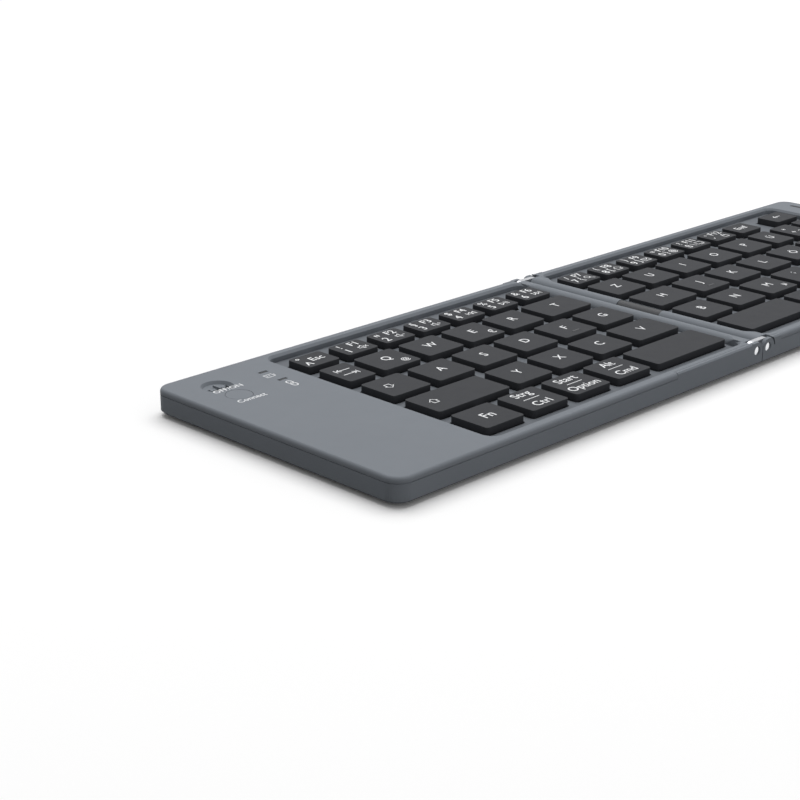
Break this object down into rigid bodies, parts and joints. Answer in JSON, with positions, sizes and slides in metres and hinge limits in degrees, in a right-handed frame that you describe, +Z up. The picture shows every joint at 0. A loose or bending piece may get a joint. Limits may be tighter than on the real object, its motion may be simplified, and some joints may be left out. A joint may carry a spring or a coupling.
{
  "type": "folding keyboard",
  "caption": "Flat compact keyboard in two halves that fold face to face on a double hinge, with low square keys in shallow wells and a blank margin with a slide switch and a button.",
  "frame": {"origin": "middle of the fold line, on the surface that the feet stand on, with the keyboard open flat", "axes": "+X to the user's right along the keyboard, +Y away from the user, +Z up"},
  "size_m": [0.289, 0.09, 0.0078],
  "materials": {
    "cover": "fine satin, mid grey",
    "case": "fine satin, dark grey",
    "keycap": "fine matt, charcoal",
    "button": "fine satin, mid grey",
    "hinge_steel": "polished on the edges",
    "plate_steel": "plain sheet",
    "screw_steel": "dark coated",
    "switch_metal": "plain",
    "socket_metal": "plain",
    "membrane": "printed film",
    "mechanism": "moulded, milky",
    "board": "solder mask",
    "battery_foil": "soft foil pouch",
    "window": "dark and clear",
    "dark_trim": "matt",
    "soft_rubber": "matt"
  },
  "bodies": {
    "left_half": {"left_bottom_case": "case", "left_top_cover": "cover", "left_key_deck": "cover", "left_support_plate": "plate_steel", "left_membrane": "membrane", "left_key_mechanisms": "mechanism", "left_feet": "soft_rubber", "left_screws": "screw_steel", "main_board": "board", "battery": "battery_foil", "charge_socket": "socket_metal", "button_switches": "switch_metal", "indicator_windows": "window"},
    "hinge_link": {"hinge_links": "hinge_steel", "hinge_pins": "hinge_steel"},
    "right_half": {"right_bottom_case": "case", "right_top_cover": "cover", "right_key_deck": "cover", "right_support_plate": "plate_steel", "right_membrane": "membrane", "right_key_mechanisms": "mechanism", "right_feet": "soft_rubber", "right_screws": "screw_steel", "cable_cover": "dark_trim", "bumper_strips": "soft_rubber"},
    "power_knob": {"power_knob": "button"},
    "pairing_button": {"pairing_button": "button"},
    "left_function_keys": {"left_function_keys": "keycap"},
    "key_tab": {"key_tab": "keycap"},
    "key_q": {"key_q": "keycap"},
    "key_w": {"key_w": "keycap"},
    "key_e": {"key_e": "keycap"},
    "key_r": {"key_r": "keycap"},
    "key_t": {"key_t": "keycap"},
    "key_caps": {"key_caps": "keycap"},
    "key_a": {"key_a": "keycap"},
    "key_s": {"key_s": "keycap"},
    "key_d": {"key_d": "keycap"},
    "key_f": {"key_f": "keycap"},
    "key_g": {"key_g": "keycap"},
    "key_shift_left": {"key_shift_left": "keycap"},
    "key_y": {"key_y": "keycap"},
    "key_x": {"key_x": "keycap"},
    "key_c": {"key_c": "keycap"},
    "key_v": {"key_v": "keycap"},
    "key_fn": {"key_fn": "keycap"},
    "key_ctrl": {"key_ctrl": "keycap"},
    "key_start": {"key_start": "keycap"},
    "key_alt": {"key_alt": "keycap"},
    "key_space_left": {"key_space_left": "keycap"},
    "right_function_keys": {"right_function_keys": "keycap"},
    "key_backspace": {"key_backspace": "keycap"},
    "keys_z_to_hash": {"keys_z_to_hash": "keycap"},
    "keys_h_to_ae": {"keys_h_to_ae": "keycap"},
    "key_enter": {"key_enter": "keycap"},
    "keys_b_to_dash": {"keys_b_to_dash": "keycap"},
    "key_shift_right": {"key_shift_right": "keycap"},
    "key_space_right": {"key_space_right": "keycap"},
    "keys_altgr_ctrl_menu": {"keys_altgr_ctrl_menu": "keycap"},
    "arrow_keys": {"arrow_keys": "keycap"}
  },
  "joints": [
    {"name": "link_fold", "type": "hinge", "parent": "left_half", "child": "hinge_link", "pos_m": [-0.00265, 0, 0.0052], "axis": [0, -1, 0], "range_deg": [0, 90]},
    {"name": "right_fold", "type": "hinge", "parent": "hinge_link", "child": "right_half", "pos_m": [0.00265, 0, 0.0052], "axis": [0, -1, 0], "range_deg": [0, 90]},
    {"name": "left_function_keys_press", "type": "slide", "parent": "left_half", "child": "left_function_keys", "axis": [0, 0, -1], "range_m": [0, 0.0012], "stiffness_N_per_m": 2100, "springref_m": -0.001},
    {"name": "key_tab_press", "type": "slide", "parent": "left_half", "child": "key_tab", "axis": [0, 0, -1], "range_m": [0, 0.0012], "stiffness_N_per_m": 300, "springref_m": -0.001},
    {"name": "key_q_press", "type": "slide", "parent": "left_half", "child": "key_q", "axis": [0, 0, -1], "range_m": [0, 0.0012], "stiffness_N_per_m": 300, "springref_m": -0.001},
    {"name": "key_w_press", "type": "slide", "parent": "left_half", "child": "key_w", "axis": [0, 0, -1], "range_m": [0, 0.0012], "stiffness_N_per_m": 300, "springref_m": -0.001},
    {"name": "key_e_press", "type": "slide", "parent": "left_half", "child": "key_e", "axis": [0, 0, -1], "range_m": [0, 0.0012], "stiffness_N_per_m": 300, "springref_m": -0.001},
    {"name": "key_r_press", "type": "slide", "parent": "left_half", "child": "key_r", "axis": [0, 0, -1], "range_m": [0, 0.0012], "stiffness_N_per_m": 300, "springref_m": -0.001},
    {"name": "key_t_press", "type": "slide", "parent": "left_half", "child": "key_t", "axis": [0, 0, -1], "range_m": [0, 0.0012], "stiffness_N_per_m": 300, "springref_m": -0.001},
    {"name": "key_caps_press", "type": "slide", "parent": "left_half", "child": "key_caps", "axis": [0, 0, -1], "range_m": [0, 0.0012], "stiffness_N_per_m": 300, "springref_m": -0.001},
    {"name": "key_a_press", "type": "slide", "parent": "left_half", "child": "key_a", "axis": [0, 0, -1], "range_m": [0, 0.0012], "stiffness_N_per_m": 300, "springref_m": -0.001},
    {"name": "key_s_press", "type": "slide", "parent": "left_half", "child": "key_s", "axis": [0, 0, -1], "range_m": [0, 0.0012], "stiffness_N_per_m": 300, "springref_m": -0.001},
    {"name": "key_d_press", "type": "slide", "parent": "left_half", "child": "key_d", "axis": [0, 0, -1], "range_m": [0, 0.0012], "stiffness_N_per_m": 300, "springref_m": -0.001},
    {"name": "key_f_press", "type": "slide", "parent": "left_half", "child": "key_f", "axis": [0, 0, -1], "range_m": [0, 0.0012], "stiffness_N_per_m": 300, "springref_m": -0.001},
    {"name": "key_g_press", "type": "slide", "parent": "left_half", "child": "key_g", "axis": [0, 0, -1], "range_m": [0, 0.0012], "stiffness_N_per_m": 300, "springref_m": -0.001},
    {"name": "key_shift_left_press", "type": "slide", "parent": "left_half", "child": "key_shift_left", "axis": [0, 0, -1], "range_m": [0, 0.0012], "stiffness_N_per_m": 300, "springref_m": -0.001},
    {"name": "key_y_press", "type": "slide", "parent": "left_half", "child": "key_y", "axis": [0, 0, -1], "range_m": [0, 0.0012], "stiffness_N_per_m": 300, "springref_m": -0.001},
    {"name": "key_x_press", "type": "slide", "parent": "left_half", "child": "key_x", "axis": [0, 0, -1], "range_m": [0, 0.0012], "stiffness_N_per_m": 300, "springref_m": -0.001},
    {"name": "key_c_press", "type": "slide", "parent": "left_half", "child": "key_c", "axis": [0, 0, -1], "range_m": [0, 0.0012], "stiffness_N_per_m": 300, "springref_m": -0.001},
    {"name": "key_v_press", "type": "slide", "parent": "left_half", "child": "key_v", "axis": [0, 0, -1], "range_m": [0, 0.0012], "stiffness_N_per_m": 300, "springref_m": -0.001},
    {"name": "key_fn_press", "type": "slide", "parent": "left_half", "child": "key_fn", "axis": [0, 0, -1], "range_m": [0, 0.0012], "stiffness_N_per_m": 300, "springref_m": -0.001},
    {"name": "key_ctrl_press", "type": "slide", "parent": "left_half", "child": "key_ctrl", "axis": [0, 0, -1], "range_m": [0, 0.0012], "stiffness_N_per_m": 300, "springref_m": -0.001},
    {"name": "key_start_press", "type": "slide", "parent": "left_half", "child": "key_start", "axis": [0, 0, -1], "range_m": [0, 0.0012], "stiffness_N_per_m": 300, "springref_m": -0.001},
    {"name": "key_alt_press", "type": "slide", "parent": "left_half", "child": "key_alt", "axis": [0, 0, -1], "range_m": [0, 0.0012], "stiffness_N_per_m": 300, "springref_m": -0.001},
    {"name": "key_space_left_press", "type": "slide", "parent": "left_half", "child": "key_space_left", "axis": [0, 0, -1], "range_m": [0, 0.0012], "stiffness_N_per_m": 300, "springref_m": -0.001},
    {"name": "right_function_keys_press", "type": "slide", "parent": "right_half", "child": "right_function_keys", "axis": [0, 0, -1], "range_m": [0, 0.0012], "stiffness_N_per_m": 2100, "springref_m": -0.001},
    {"name": "key_backspace_press", "type": "slide", "parent": "right_half", "child": "key_backspace", "axis": [0, 0, -1], "range_m": [0, 0.0012], "stiffness_N_per_m": 300, "springref_m": -0.001},
    {"name": "keys_z_to_hash_press", "type": "slide", "parent": "right_half", "child": "keys_z_to_hash", "axis": [0, 0, -1], "range_m": [0, 0.0012], "stiffness_N_per_m": 2400, "springref_m": -0.001},
    {"name": "keys_h_to_ae_press", "type": "slide", "parent": "right_half", "child": "keys_h_to_ae", "axis": [0, 0, -1], "range_m": [0, 0.0012], "stiffness_N_per_m": 1800, "springref_m": -0.001},
    {"name": "key_enter_press", "type": "slide", "parent": "right_half", "child": "key_enter", "axis": [0, 0, -1], "range_m": [0, 0.0012], "stiffness_N_per_m": 300, "springref_m": -0.001},
    {"name": "keys_b_to_dash_press", "type": "slide", "parent": "right_half", "child": "keys_b_to_dash", "axis": [0, 0, -1], "range_m": [0, 0.0012], "stiffness_N_per_m": 1800, "springref_m": -0.001},
    {"name": "key_shift_right_press", "type": "slide", "parent": "right_half", "child": "key_shift_right", "axis": [0, 0, -1], "range_m": [0, 0.0012], "stiffness_N_per_m": 300, "springref_m": -0.001},
    {"name": "key_space_right_press", "type": "slide", "parent": "right_half", "child": "key_space_right", "axis": [0, 0, -1], "range_m": [0, 0.0012], "stiffness_N_per_m": 300, "springref_m": -0.001},
    {"name": "keys_altgr_ctrl_menu_press", "type": "slide", "parent": "right_half", "child": "keys_altgr_ctrl_menu", "axis": [0, 0, -1], "range_m": [0, 0.0012], "stiffness_N_per_m": 900, "springref_m": -0.001},
    {"name": "arrow_keys_press", "type": "slide", "parent": "right_half", "child": "arrow_keys", "axis": [0, 0, -1], "range_m": [0, 0.0012], "stiffness_N_per_m": 1200, "springref_m": -0.001},
    {"name": "pairing_button_press", "type": "slide", "parent": "left_half", "child": "pairing_button", "axis": [0, 0, -1], "range_m": [0, 0.00035], "stiffness_N_per_m": 2000, "springref_m": -0.0004},
    {"name": "power_knob_slide", "type": "slide", "parent": "left_half", "child": "power_knob", "axis": [1, 0, 0], "range_m": [-0.001, 0.001]}
  ]
}
